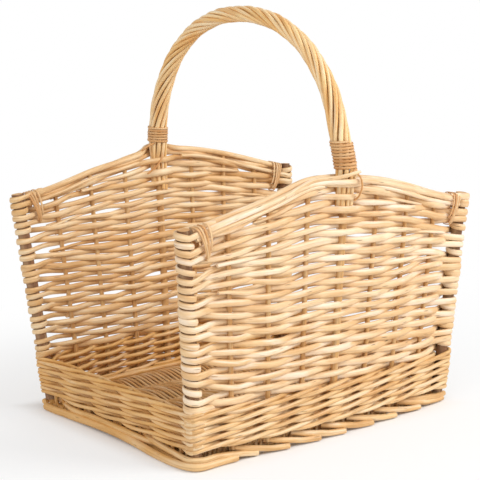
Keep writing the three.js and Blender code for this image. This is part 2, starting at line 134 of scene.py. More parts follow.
@dataclass
class Nodes:
    """Adds shader nodes to a tree; each input takes a link or a plain value."""

    tree: bpy.types.NodeTree

    def fill(self, node: bpy.types.Node, inputs: Inputs) -> None:
        """Links or sets inputs of a node.

        Args:
            node: The node.
            inputs: What each input takes, by its name or number.
        """
        for key, value in inputs.items():
            if isinstance(value, Socket):
                self.tree.links.new(value, node.inputs[key])
            else:
                node.inputs[key].default_value = value

    def add(self, kind: str, inputs: Inputs | None = None, **options: str) -> bpy.types.Node:
        """Adds a node.

        Args:
            kind: Its type, without the words that every shader node's type starts with.
            inputs: What its inputs take.
            options: Its options.

        Returns:
            The node.
        """
        node = self.tree.nodes.new("ShaderNode" + kind)
        for key, value in options.items():
            setattr(node, key, value)
        self.fill(node, inputs or {})
        return node

    def value(self, kind: str, inputs: Inputs, **options: str) -> Socket:
        """Adds a node and gives its first output."""
        return self.add(kind, inputs, **options).outputs[0]

    def texture(self, kind: str, vector: Socket, stretch: Triple, **inputs: float) -> Socket:
        """Adds a texture on stretched coordinates and gives its value."""
        stretched = self.value("Mapping", {"Vector": vector, "Scale": stretch})
        return self.value("Tex" + kind, {"Vector": stretched, **inputs})

    def ramp(self, value: Socket, stops: list[tuple[float, Triple]], between: str = "LINEAR") -> Socket:
        """Colours a value.

        Args:
            value: The value.
            stops: Values from 0 to 1 in order, each with its linear colour.
            between: How colours run from stop to stop.

        Returns:
            The colour.
        """
        node = self.add("ValToRGB", {"Fac": value})
        node.color_ramp.interpolation = between
        marks = node.color_ramp.elements
        for index, (place, colour) in enumerate(stops):
            mark = marks[index] if index < 2 else marks.new(place)
            mark.position = place
            mark.color = (*colour, 1.0)
        return node.outputs["Color"]

    def mix(self, share: Socket | float, first: Socket, second: Socket | str, blend: str = "MIX") -> Socket:
        """Mixes two colours.

        Args:
            share: Share of the second colour.
            first: The first colour.
            second: The second colour, linked or written.
            blend: The way of mixing.

        Returns:
            The mixed colour.
        """
        over = (*srgb(second), 1.0) if isinstance(second, str) else second
        inputs = {0: share, 6: first, 7: over}
        return self.add("Mix", inputs, data_type="RGBA", blend_type=blend).outputs[2]

    def fade(self, value: Socket, limits: Pair, shares: Pair) -> Socket:
        """Runs smoothly from one share to another between two limits of a value."""
        inputs = dict(enumerate((value, *limits, *shares)))
        return self.value("MapRange", inputs, interpolation_type="SMOOTHSTEP")

    def seeing_rays(self) -> Socket:
        """Gives 1 for rays from the camera, also by way of gloss or glass, and 0 for the rest.

        Returns:
            The value.
        """
        rays = self.add("LightPath").outputs
        value = rays["Is Camera Ray"]
        for kind in ("Is Glossy Ray", "Is Transmission Ray"):
            value = self.value("Math", {0: value, 1: rays[kind]}, operation="MAXIMUM")
        return value


@dataclass(frozen=True)
class Willow:
    """A finish of willow: its tones from darkest to lightest, grain, knots and gloss.

    A finish with some depth is painted a deeper gold away from the front of the basket: painted shade for
    the ends and the back, which lie in warm shade.
    """

    name: str
    slot: str
    tones: tuple[str, str, str, str]
    streak: str
    pale: str
    gold: str
    roughness: float = 0.45
    grain: float = 0.4
    knots: float = 0.75
    bump: float = 0.25
    # depth: share of painted shade, a deeper gold away from the front wall
    depth: float = 0.0
    knot: str = "6b4524"
    # deep: the colour of that painted shade
    deep: str = "e0a54a"
    gloss_spread: Pair = (-0.1, 0.14)
    bump_height: float = 0.0006

    def material(self) -> bpy.types.Material:
        """Builds the finish as nodes once, and finds it again after that.

        Returns:
            The material.
        """
        made = bpy.data.materials.get(self.name)
        if made:
            return made
        made = bpy.data.materials.new(self.name)
        made.use_nodes = True
        nodes = Nodes(made.node_tree)
        tone = nodes.add("Attribute", attribute_name="tone").outputs["Fac"]
        grain = nodes.add("Attribute", attribute_name="grain").outputs["Vector"]
        place = nodes.add("TexCoord").outputs["Object"]
        across = nodes.add("SeparateXYZ", {0: place}).outputs["Y"]
        streaks = nodes.texture("Noise", grain, (2.6, 2.6, 9.0), Scale=1.0, Detail=4.0)
        bands = nodes.texture("Noise", grain, (0.55, 0.55, 17.0), Scale=1.0, Detail=3.0)
        patches = nodes.texture("Noise", place, (1.0, 1.0, 1.0), Scale=34.0, Detail=3.0)
        cells = nodes.texture("Voronoi", grain, (0.9, 0.9, 22.0), Scale=1.0)
        colour = nodes.ramp(tone, [(index / 3, srgb(stop)) for index, stop in enumerate(self.tones)])
        colour = nodes.mix(0.5, colour, patches, "SOFT_LIGHT")
        layers = (
            (self.pale, bands, (0.5, 0.66), (0.0, 0.55)),
            (self.gold, bands, (0.34, 0.48), (0.5, 0.0)),
            (self.streak, streaks, (0.5, 0.74), (0.0, self.grain)),
            (self.knot, cells, (0.06, 0.15), (self.knots, 0.0)),
            # Painted shade: away from the front wall the colour runs to the deeper gold.
            (self.deep, across, (-0.165, -0.12), (0.0, self.depth)),
        )
        for layer, value, limits, shares in layers:
            colour = nodes.mix(nodes.fade(value, limits, shares), colour, layer)
        smooth, rough = [self.roughness + spread for spread in self.gloss_spread]
        bump = {"Strength": self.bump, "Distance": self.bump_height, "Height": streaks}
        nodes.fill(made.node_tree.nodes["Principled BSDF"], {
            "Base Color": colour,
            "Specular IOR Level": 0.5,
            "Roughness": nodes.value("MapRange", {0: streaks, 3: smooth, 4: rough}),
            "Normal": nodes.value("Bump", bump),
        })
        return made


PALE = Willow("pale_willow_rods", "pale_willow", ("e2b984", "e7c293", "ebcba0", "efd4ae"), "b07f4e",
              "f6e8d6", "d0a064")
# A deeper, more golden copy of the pale willow: painted shade for the back panel, whose inside faces the
# camera in shade.
PALE_IN_SHADE = Willow("straw_willow_rods", "pale_willow", ("dcae74", "e1b781", "e7c18e", "ecca9c"), "a5733f",
               "f2deba", "c48f4c")
# HONEY's depth paints shade on the wale and foot away from the front wall.
HONEY = Willow("honey_willow_rods", "golden_willow", ("d8a769", "deb176", "e3bb84", "e8c694"), "95663a",
               "f0dab8", "bb8645", depth=0.42)
GOLD = Willow("golden_willow_strands", "golden_willow", ("e8b46f", "edbf7d", "f1c98d", "f5d4a0"), "a8743c",
              "f8e5c2", "d3984e", 0.42, 0.25, 0.5, 0.12)
BUFF = Willow("buff_willow_rods", "brown_willow", ("b47d43", "c28e53", "cfa064", "d9b078"), "774c25",
              "e0c090", "966434", 0.52)
FLOOR = Willow("floor_willow_rods", "brown_willow", ("cf9d60", "d8a96e", "e0b57d", "e7c28f"), "8c5c30",
               "efd8b4", "b57f44", 0.5)
BARK = Willow("barked_willow_posts", "barked_willow", ("6f4c2f", "80593a", "92694a", "a67d58"), "4a3220",
              "b39470", "5a3d26", 0.7)
CUT = Willow("cut_willow_ends", "barked_willow", ("c9935a", "d4a36c", "deb27e", "e6c091"), "9a6a38",
             "ecd0a8", "b98850", 0.65)
SKEIN = Willow("split_willow_skein", "split_willow", ("c98a4e", "d39a5e", "dcac74", "e6c090"), "8a5a2c",
               "ecd0a4", "b5773c", 0.46)


@dataclass(frozen=True)
class Form:
    """The basket's own shape in millimetres: the solids' shape, as uneven as the photo shows it.

    A place along a long wall is counted in stake spaces from the left post, or from -1 at the left
    post to 1 at the right post. Pairs hold the left and the right end, or the front and the back.
    """

    half_lengths: Pair = (245.0, 240.0)
    end_leans: Pair = (32.0, 21.0)
    half_width_top: float = 179.0
    side_lean: float = 19.0
    side_bow: float = 14.0
    post_height: float = 302.0
    twist: float = 5.0
    sag: float = 4.0
    rim_end: float = 294.6
    arch_rise: float = 46.0
    arch_bell: float = 0.55
    rim_skew: float = 7.0
    shoulders: Pair = (5.0, -3.5)
    shoulder_place: float = -0.24
    shoulder_width: float = 0.17
    stand: float = 14.3
    wall_low: float = 21.2
    wall_high: float = 74.3
    side_spaces: int = 8
    end_spaces: int = 5
    corner_spaces: float = 0.3

    def corners(self) -> tuple[int, int, int, int]:
        """Stake spaces from the front left post round to each post."""
        half = self.side_spaces + self.end_spaces
        return 0, self.side_spaces, half, half + self.side_spaces

    def total(self) -> int:
        """Stake spaces right round the basket."""
        return 2 * (self.side_spaces + self.end_spaces)

    def to_along(self, place: float) -> float:
        """Turns stake spaces from the left post into a place from -1 to 1."""
        return 2 * place / self.side_spaces - 1

    def to_place(self, along: float) -> float:
        """Turns a place from -1 to 1 into stake spaces from the left post."""
        return (along + 1) * self.side_spaces / 2

    def half_length(self, height: float, along: float) -> float:
        """Distance along X from the middle to the posts of the end that a place lies towards."""
        end = 1 if along > 0 else 0
        return self.half_lengths[end] - self.end_leans[end] * (1 - height / self.post_height)

    def half_width(self, height: float) -> float:
        """Half the distance between post centres along Y at a height."""
        return self.half_width_top - self.side_lean * (1 - height / self.post_height)

    def on_side(self, side: Side, along: float, height: float, out: float = 0.0) -> Vector:
        """Gives a point of a long wall.

        Args:
            side: The wall.
            along: From -1 at the left post to 1 at the right post.
            height: Height over the ground.
            out: Distance outwards from the wall's middle.

        Returns:
            The point.
        """
        reach = self.half_width(height) + self.side_bow * (1 - along * along) + out
        point = Vector((along * self.half_length(height, along), side.value * reach, height))
        slack = along * along * height / self.post_height
        if side is Side.BACK:
            point.x -= self.twist * slack
        elif along > 0:
            point.z -= self.sag * slack
        return point

    def rim_height(self, side: Side, along: float) -> float:
        """Gives the height of the rim's middle, each panel a little skewed as worked by hand.

        Args:
            side: The panel.
            along: From -1 at the left post to 1 at the right post.

        Returns:
            The height.
        """
        dome = 1 - along * along
        bell = 0.5 + 0.5 * math.cos(math.pi * along)
        arch = self.arch_rise * ((1 - self.arch_bell) * dome + self.arch_bell * bell)
        skew = self.rim_skew * side.value * along * dome
        aside = (along - self.shoulder_place) / self.shoulder_width
        shoulder = self.shoulders[0 if side is Side.FRONT else 1] * math.exp(-aside ** 2)
        return self.rim_end + arch + skew + shoulder

    def round_walls(self, station: float, height: float, out: float) -> Vector:
        """Gives a point of the four walls.

        Args:
            station: Stake spaces from the front left post, along the front, right, back and left.
            height: Height over the ground.
            out: Distance outwards from the wall's middle.

        Returns:
            The point.
        """
        counts = (self.side_spaces, self.end_spaces, self.side_spaces, self.end_spaces)
        station %= sum(counts)
        wall = 0
        while station > counts[wall]:
            station -= counts[wall]
            wall += 1
        share = station / counts[wall]
        along = 2 * share - 1
        width = self.half_width(height)
        bow = self.side_bow * (1 - along * along)
        points = (
            Vector((along * self.half_length(height, along), -width - bow, height)),
            Vector((self.half_length(height, 1.0), along * width, height)),
            Vector((-along * self.half_length(height, -along), width + bow, height)),
            Vector((-self.half_length(height, -1.0), -along * width, height)),
        )
        near = min(station, counts[wall] - station)
        turn = math.radians(45) * (1 - ease(near, 0.0, self.corner_spaces))
        heading = -90 + 90 * wall
        angle = math.radians(heading) + (turn if share > 0.5 else -turn)
        return points[wall] + out * Vector((math.cos(angle), math.sin(angle), 0.0))


@dataclass
class Rod:
    """One rod: its path and its half height and half thickness at each point, in millimetres."""

    path: list[Vector]
    heights: list[float]
    widths: list[float]
    tone: float
    lay: Lay = Lay.LEVEL


@dataclass
class RodMesh:
    """Sweeps rods into one mesh, with each rod's tone and its own grain coordinates."""

    name: str
    finish: Willow
    facets: int = 8
    mesh: bmesh.types.BMesh = field(default_factory=bmesh.new)
    run: float = 0.0
    run_between: float = 3.7
    steep: float = 0.9

    def add(self, rod: Rod) -> None:
        """Sweeps a rod: a ring is extruded from point to point and both ends are closed.

        Args:
            rod: The rod to add.
        """
        part = bmesh.new()
        tone = part.verts.layers.float.new("tone")
        grain = part.verts.layers.float_vector.new("grain")
        self.run += self.run_between
        ring = bmesh.ops.create_circle(part, cap_ends=True, segments=self.facets, radius=1.0)["verts"]
        for vert in ring:
            vert[tone] = rod.tone
            vert[grain] = vert.co
        edges = part.edges[:]
        ends = edges[:]
        across = UP
        last = len(rod.path) - 1
        for index, point in enumerate(rod.path):
            tangent = (rod.path[min(index + 1, last)] - rod.path[max(index - 1, 0)]).normalized()
            if index > 0:
                self.run += (point - rod.path[index - 1]).length * MM
                made = bmesh.ops.extrude_edge_only(part, edges=edges)["geom"]
                ring = [item for item in made if isinstance(item, bmesh.types.BMVert)]
                edges = [item for item in made if isinstance(item, bmesh.types.BMEdge) and item.is_boundary]
            if rod.lay is Lay.LEVEL:
                across = UP
            elif index == 0 and abs(tangent.z) > self.steep:
                across = Vector((1.0, 0.0, 0.0))
            across = (across - tangent * across.dot(tangent)).normalized()
            aside = tangent.cross(across)
            for vert in ring:
                turn = vert[grain]
                shift = across * (rod.heights[index] * turn.x) + aside * (rod.widths[index] * turn.y)
                vert.co = (point + shift) * MM
                vert[grain] = Vector((turn.x, turn.y, self.run))
        bmesh.ops.edgeloop_fill(part, edges=edges)
        for edge in ends + edges:
            edge.smooth = False
        swept = bpy.data.meshes.new("swept_rod")
        part.to_mesh(swept)
        part.free()
        self.mesh.from_mesh(swept)
        bpy.data.meshes.remove(swept)

    def place(self, *nodes: str) -> bpy.types.Object:
        """Turns the mesh into a piece that stands for the given solids.

        Args:
            nodes: Names of the solids that it replaces.

        Returns:
            The piece.
        """
        bmesh.ops.recalc_face_normals(self.mesh, faces=self.mesh.faces)
        for face in self.mesh.faces:
            face.smooth = True
        data = bpy.data.meshes.new(self.name)
        self.mesh.to_mesh(data)
        self.mesh.free()
        data.materials.append(self.finish.material())
        piece = bpy.data.objects.new(self.name, data)
        bpy.context.scene.collection.objects.link(piece)
        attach(piece, "root")
        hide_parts(*nodes)
        log.info("%s: %d faces", self.name, len(data.polygons))
        return piece


@dataclass
class Draft:
    """A rod while it is woven: its build and waves, its path, and how full and how flat it is there."""

    build: float
    thick: float
    waves: list[Triple]
    path: list[Vector] = field(default_factory=list)
    swell: list[float] = field(default_factory=list)
    flat: list[float] = field(default_factory=list)


@dataclass(frozen=True)
class RimRod:
    """A rod of the rim: where it starts and ends, its place out and up, and its size at both ends."""

    first: float
    last: float
    aside: float
    lift: float
    butt: float
    tip: float


@dataclass
class Panel:
    """A tall woven panel: stakes, rows of weaving that turn round the posts, and the rim.

    Rows are counted from the bottom, two to a rod, and places along a row are stake spaces from the
    left post. The packs are short rods that fill out the arch.
    """

    form: Form
    side: Side
    finish: Willow
    rows: int = 34
    packs: tuple[int, ...] = (9, 12, 15)
    pack_rise: float = 30.0
    pack_step: float = 7.0
    pack_least: float = 0.45
    slits: int = 11
    slit: float = 2.2
    slit_spread: float = 0.36
    slit_shares: tuple[Pair, ...] = ((1, 0.4), (0, 1.0), (-1, -1.0), (-2, -0.4))
    bands: int = 22
    band_gap: float = 0.5
    band_gap_odds: float = 0.25
    band_slope: float = 0.22
    band_swell: Pair = (0.9, 1.25)
    band_sag: float = 1.3
    stake_radius: float = 3.4
    post_radius: float = 8.1
    post_top: float = 2.4
    pressed: float = 0.66
    sway: float = 4.2
    rod_height: float = 4.45
    rod_thickness: float = 3.1
    butt: float = 1.12
    thinning: float = 0.24
    rim_radius: float = 4.2
    rim_face: float = 5.4
    rim_flat: float = 0.95
    rim_wave: float = 0.5
    rim_sway: float = 0.9
    rim_past_handle: float = 13.2
    strips: Laid = ((12.5, 25.5, 41.0), (16.8, 27.0, 45.0), (21.2, 28.6, 43.0), (27.5, 31.5, 36.0))
    strip_half: Pair = (1.5, 0.7)
    strip_reach: float = 11.4
    strip_steps: int = 36
    bundle: float = 7.2
    bundle_aside: Pair = (0.1, 0.62)
    bundle_below: Pair = (62.0, 26.0)
    seed: int = 3

    def __post_init__(self) -> None:
        """Seeds the panel's own irregularity: each rod's build and where it takes over."""
        self.dice = random.Random(self.seed * 10 + self.side.value)
        self.low = self.form.wall_high - 0.6
        self.crown = self.form.rim_height(self.side, 0.0)
        self.builds = [self.dice.uniform(0.86, 1.14) for _ in range(self.rows // 2 + 1)]
        hidden = 0.1 if self.side is Side.FRONT else 1.1
        self.joins = [2 * self.dice.randint(1, 3) - hidden for _ in range(self.rows // 2)]
        self.full = [rod for rod in range(self.rows // 2 + 1) if rod not in self.packs]
        self.slots = {end: self._band_slots() for end in End}
        self.gaps = []
        for _ in range(self.slits):
            above = self.dice.randint(3, self.rows - 5)
            self.gaps.append((above, self.dice.randint(1, 6) + self.dice.uniform(0.3, 0.7)))

    def _band_slots(self) -> list[float]:
        """Spaces the bands on a post, some with a gap below them.

        Returns:
            The middle of each band, from 0 at the low wall to 1 at the post's top.
        """
        middles, used = [], 0.0
        for _ in range(self.bands):
            used += self.band_gap if self.dice.random() < self.band_gap_odds else 0.0
            middles.append(used + 0.5)
            used += 1.0
        return [middle / used for middle in middles]

    def name(self, part: str) -> str:
        """Name of a part of this panel."""
        return f"{self.side.name.lower()}_{part}"

    def girth(self, row: int, place: float) -> float:
        """Gives a row's thickness against the usual one; every rod tapers from butt to tip.

        Args:
            row: The row.
            place: The place along it.

        Returns:
            The ratio.
        """
        rod, share = row // 2, place / (2 * self.form.side_spaces)
        build = self.builds[rod]
        if rod in self.packs:
            return build * self.packed(rod, place)
        if row % 2:
            return build * (self.butt - self.thinning * (1 - share))
        fresh = build * (self.butt - self.thinning * share)
        if rod == 0:
            return fresh
        spent = self.builds[self.full[self.full.index(rod) - 1]] * (self.butt - self.thinning * (1 + share))
        return spent + (fresh - spent) * ease(place - self.joins[rod], -0.2, 1.1)

    def packed(self, rod: int, place: float) -> float:
        """Gives how much of its thickness a pack has at a place, from 0, where it has ended, to 1."""
        arch = self.form.rim_height(self.side, self.form.to_along(place)) - self.form.rim_end
        return clamp((arch - self.pack_step * self.packs.index(rod)) / self.pack_rise)

    def turn_number(self, row: int) -> int:
        """Number of the rod that a row belongs to, the packs left out."""
        return row // 2 - sum(pack < row // 2 for pack in self.packs)

    def even_height(self, row: int, along: float) -> float:
        """Gives the height of a row where the rows lie beaten down from wall to rim.

        Args:
            row: The row; one more may lie below and above.
            along: From -1 at the left post to 1 at the right post.

        Returns:
            The height.
        """
        place = self.form.to_place(along)
        girths = [self.girth(index, place) for index in range(self.rows)]
        lying = sum(girths[:max(row, 0)])
        half = girths[row] / 2 if 0 <= row < self.rows else math.copysign(0.5, row)
        high = self.form.rim_height(self.side, along) - 2.0
        return self.low + (high - self.low) * (lying + half) / sum(girths)

    def turn_heights(self, end: End, turn: int) -> tuple[float, float, int]:
        """Gives the heights at which a rod reaches and leaves a post, and how often it shows there.

        Args:
            end: The post.
            turn: The turn round that post, from the bottom.

        Returns:
            The arriving height, the leaving height and the number of bands.
        """
        turns = self.rows // 2 - len(self.packs) + (1 if end is End.LEFT else 0)
        first = round(turn * self.bands / turns)
        last = round((turn + 1) * self.bands / turns) - 1
        rise = self.form.post_height - self.post_top - self.form.wall_high
        step = self.band_slope * rise / self.bands
        arrive = self.form.wall_high + rise * self.slots[end][first] - step
        leave = self.form.wall_high + rise * self.slots[end][last] + step
        return arrive, leave, last - first + 1

    def end_height(self, row: int, end: End) -> float:
        """Gives the height at which a row meets a post.

        Args:
            row: The row; odd rows run from right to left.
            end: The post.

        Returns:
            The height.
        """
        homeward = row % 2 == 1
        late = 1 if homeward and end is End.LEFT else 0
        arrive, leave, _ = self.turn_heights(end, self.turn_number(row) + late)
        return leave if homeward == (end is End.RIGHT) else arrive

    def handle_bump(self, place: float, height: float) -> float:
        """Gives how many millimetres further out a rod runs where it passes the handle's strands."""
        near = 1 - ease(abs(place - self.form.side_spaces / 2), *self.bundle_aside)
        return self.bundle * near * ease(height, *[self.crown - below for below in self.bundle_below])

    def row_point(self, row: int, place: float, lift: float, thick: float) -> Vector:
        """Gives a point of a row.

        Args:
            row: The row.
            place: The place along it.
            lift: Irregular lift there.
            thick: The rod's half thickness there.

        Returns:
            The point.
        """
        along = self.form.to_along(place)
        end = End.RIGHT if along > 0 else End.LEFT
        height = self.even_height(row, along)
        if row // 2 not in self.packs:
            fall = self.end_height(row, end) - self.even_height(row, float(end.value))
            height += fall * ease(abs(along), 0.7, 0.99)
        height += lift * (1 - ease(abs(along), 0.75, 1.0))
        reach = self.sway + (self.post_radius + thick - self.sway) * ease(abs(along), 0.8, 1.0)
        reach += self.handle_bump(place, height)
        return self.form.on_side(self.side, along, height, reach * math.cos(math.pi * (place + row + 1)))

    def weave(self) -> None:
        """Weaves the panel from rods that run up round both posts, and packs its middle with short ones."""
        mesh = RodMesh(self.name("woven_rods"), self.finish)
        for rod in range(self.rows // 2):
            draft = self._draft(rod)
            if rod in self.packs:
                self._pack(draft, rod)
            else:
                self._weave_rod(draft, rod)
            slim = taper(len(draft.path), self.butt, 0.82)
            heights = [self.rod_height * draft.build * thin * full for thin, full in zip(slim, draft.swell)]
            widths = [draft.thick * thin * flat for thin, flat in zip(slim, draft.flat)]
            for sizes in (heights, widths):
                sizes[-1] *= 0.5
            mesh.add(Rod(draft.path, heights, widths, self.dice.uniform(0.0, 1.0)))
        mesh.place(self.name("weave"))

    def _draft(self, rod: int) -> Draft:
        """Starts a rod by its number from the bottom, with no points yet."""
        waves = [(self.dice.uniform(0.1, 0.3), self.dice.uniform(0.6, 2.2), self.dice.uniform(0, 6))
                 for _ in range(3)]
        return Draft(self.builds[rod], self.rod_thickness * self.builds[rod], waves)

    def _weave_rod(self, draft: Draft, rod: int) -> None:
        """Weaves a rod there and back, round both posts, and on until the next one takes over.

        Args:
            draft: The rod.
            rod: Its number from the bottom.
        """
        spaces = float(self.form.side_spaces)
        number = self.turn_number(2 * rod)
        after = self.full[number + 1]
        if rod == 0:
            self._run(draft, -1, 0.5, 0.0)
            self._turn(draft, End.LEFT, 0)
        self._run(draft, 2 * rod, self.joins[rod] if rod else 0.0, spaces)
        self._turn(draft, End.RIGHT, number)
        self._run(draft, 2 * rod + 1, spaces, 0.0)
        self._turn(draft, End.LEFT, number + 1)
        last = rod == self.rows // 2 - 1
        self._run(draft, 2 * after, 0.0, 0.7 if last else self.joins[after] + 0.9)

    def _pack(self, draft: Draft, rod: int) -> None:
        """Weaves a pack there and back between two stakes, short of the posts.

        Args:
            draft: The rod.
            rod: Its number from the bottom.
        """
        stake = (self.packs.index(rod) + 2) // 2
        far = self.form.side_spaces - stake + 0.45
        self._run(draft, 2 * rod, stake - 0.3, far)
        self._run(draft, 2 * rod + 1, far, stake - 0.4)
        for index, point in enumerate(draft.path):
            place = self.form.to_place(point.x / self.form.half_length(point.z, point.x))
            draft.swell[index] *= max(self.packed(rod, place), self.pack_least)

    def _run(self, draft: Draft, row: int, first: float, last: float) -> None:
        """Takes a rod along a row between two places.

        Args:
            draft: The rod.
            row: The row.
            first: The place where it starts.
            last: The place where it ends.
        """
        steps = max(int(abs(last - first) * 9), 3)
        for step in range(steps + 1):
            place = first + (last - first) * step / steps
            lift = sum(size * math.sin(pace * place + late) for size, pace, late in draft.waves)
            lift += self._parted(row, place)
            draft.path.append(self.row_point(row, place, lift, draft.thick * self.pressed))
            tight = 0.99 + 0.04 * abs(math.cos(math.pi * place))
            wide = ease(abs(self.form.to_along(place)), 0.86, 1.0)
            draft.swell.append(tight + (1.0 - tight) * wide)
            draft.flat.append(1.0 - (1.0 - self.pressed) * wide)

    def _parted(self, row: int, place: float) -> float:
        """Gives how far a row is pushed up or down by the slits where two rows lie apart.

        Args:
            row: The row.
            place: The place along it.

        Returns:
            The distance in millimetres, upwards.
        """
        shares = dict(self.slit_shares)
        asides = [(row - above, (place - middle) / self.slit_spread) for above, middle in self.gaps]
        return sum(self.slit * shares.get(rows, 0.0) * math.exp(-aside ** 2) for rows, aside in asides)

    def _turn(self, draft: Draft, end: End, number: int) -> None:
        """Takes a rod round a post, pressed flat, from the wall's one face to its other face.

        Args:
            draft: The rod.
            end: The post.
            number: The turn round that post, from the bottom.
        """
        band = self.dice.uniform(*self.band_swell)
        sag = self.dice.uniform(-self.band_sag, self.band_sag)
        arrive, leave, bands = self.turn_heights(end, number)
        reach = self.post_radius + draft.thick * self.pressed
        turns = bands - 0.5
        steps = int(turns * 22)
        for step in range(1, steps):
            share = step / steps
            angle = 2 * math.pi * turns * share
            height = arrive + (leave - arrive) * share + sag * math.sin(math.pi * share)
            point = self.form.on_side(self.side, float(end.value), height)
            point.x += end.value * reach * math.sin(angle)
            point.y -= end.value * self.side.value * reach * math.cos(angle)
            draft.path.append(point)
            draft.flat.append(self.pressed)
            draft.swell.append(1 + (band - 1) * math.sin(math.pi * share))

    def rim(self) -> None:
        """Lays smooth rods along the arch, some of which meet at the handle."""
        mesh = RodMesh(self.name("rim_rods"), self.finish)
        near_face = -self.rim_face * self.side.value
        inner = RimRod(-0.95, 0.95, -3.2, 0.6, 1.04, 0.9)
        outer = RimRod(-0.95, 0.075, 4.6, -3.0, 1.06, 0.86)
        joined = RimRod(0.03, 0.95, 4.4, -2.4, 0.86, 1.05)
        over = RimRod(-0.42, 0.055, 5.6, 1.6, 0.8, 0.6)
        below = RimRod(-0.95, -0.16, near_face, -9.0, 0.74, 0.62)
        beyond = RimRod(0.14, 0.95, near_face, -9.5, 0.6, 0.72)
        for rod in (inner, outer, joined, over, below, beyond):
            path = self._rim_path(rod)
            sizes = [self.rim_radius * size for size in taper(len(path), rod.butt, rod.tip)]
            sizes[-1] *= 0.6 if rod.last < 0.9 else 1.0
            mesh.add(Rod(path, sizes, [size * self.rim_flat for size in sizes], self.dice.uniform(0.4, 0.9)))
        mesh.place(self.name("rim_outer"), self.name("rim_inner"))

    def _rim_path(self, rod: RimRod) -> list[Vector]:
        """Takes a rod along the rim and past the handle.

        Args:
            rod: The rod.

        Returns:
            Its path.
        """
        back_inside = self.side is Side.BACK and rod.aside < 0
        face = 1 if rod.aside > 0 or self.side is Side.BACK else -1
        late = self.dice.uniform(0, 6)
        steps = int((rod.last - rod.first) * 40)
        path = []
        for step in range(steps + 1):
            along = rod.first + (rod.last - rod.first) * step / steps
            place = self.form.to_place(along)
            wave = self.rim_wave * math.sin(2.1 * place + late)
            height = self.form.rim_height(self.side, along) + rod.lift + wave
            near = self.handle_bump(place, height) / self.bundle
            out = rod.aside + self.rim_sway * math.cos(math.pi * place)
            out += (face * self.rim_past_handle - rod.aside) * near
            height += (4.0 if back_inside else 0.0) * near
            if rod.first > 0:
                out -= 6.5 * (1 - ease(along, rod.first, rod.first + 0.16))
            elif rod.lift > 1:
                height += 8.0 * ease(along, -0.14, 0.06) - 4.5 * (1 - ease(along, rod.first, -0.2))
            path.append(self.form.on_side(self.side, along, height, out))
        return path

    def stakes(self) -> None:
        """Sets the stakes between the posts, all but the handle's leg."""
        leg = self.form.side_spaces // 2
        numbers = [number for number in range(1, self.form.side_spaces) if number != leg]
        mesh = RodMesh(self.name("stakes"), BUFF)
        sizes = taper(13, self.stake_radius, self.stake_radius * 0.9)
        for stake in numbers:
            along = self.form.to_along(stake)
            rise = self.form.rim_height(self.side, along) - 1.0 - self.form.stand
            heights = [self.form.stand + rise * step / 12 for step in range(13)]
            path = [self.form.on_side(self.side, along, height) for height in heights]
            mesh.add(Rod(path, sizes, sizes, self.dice.uniform(0.3, 0.9), Lay.FREE))
        mesh.place(*[self.name(f"stake_{stake}") for stake in numbers])

    def posts(self) -> None:
        """Sets the two barked corner posts, each with a cut top."""
        for end in End:
            name = self.name(f"{end.name.lower()}_post")
            mesh = RodMesh(name + "_barked", BARK, 14)
            heights = [self.form.stand + step for step in range(0, 288, 12)] + [self.form.post_height]
            path = [self.form.on_side(self.side, float(end.value), height) for height in heights]
            sizes = [self.post_radius * self.dice.uniform(0.97, 1.02) for _ in path]
            sizes[-1] = self.post_radius * 0.93
            mesh.add(Rod(path, sizes, sizes, self.dice.uniform(0.2, 0.7), Lay.FREE))
            post = mesh.place(name)
            post.data.materials.append(CUT.material())
            for face in post.data.polygons:
                if len(face.vertices) > 4 and face.center.z > 0.2:
                    face.material_index = 1

    def corner_bindings(self) -> None:
        """Loops thin strips of split willow over the rim beside each post, drawn together below."""
        for end in End:
            mesh = RodMesh(self.name(f"{end.name.lower()}_binding_strips"), SKEIN, 6)
            for high, low, depth in self.strips:
                path = []
                for step in range(self.strip_steps + 1):
                    angle = 2 * math.pi * step / self.strip_steps
                    down = 0.5 - 0.5 * math.sin(angle)
                    along = 1 - (high + (low - high) * down ** 0.8) / self.form.half_lengths[1]
                    top = self.form.rim_height(self.side, along * end.value) + self.rim_radius + 1.6
                    out = self.strip_reach * signed_power(math.cos(angle), 0.5) * (1 - 0.12 * down)
                    path.append(self.form.on_side(self.side, along * end.value, top - depth * down, out))
                heights, widths = [[half] * len(path) for half in self.strip_half]
                mesh.add(Rod(path, heights, widths, self.dice.uniform(0.45, 1.0), Lay.FREE))
            mesh.place(self.name(f"{end.name.lower()}_binding"))

    def build(self) -> None:
        """Builds all the panel's pieces."""
        self.posts()
        self.stakes()
        self.weave()
        self.rim()
        self.corner_bindings()


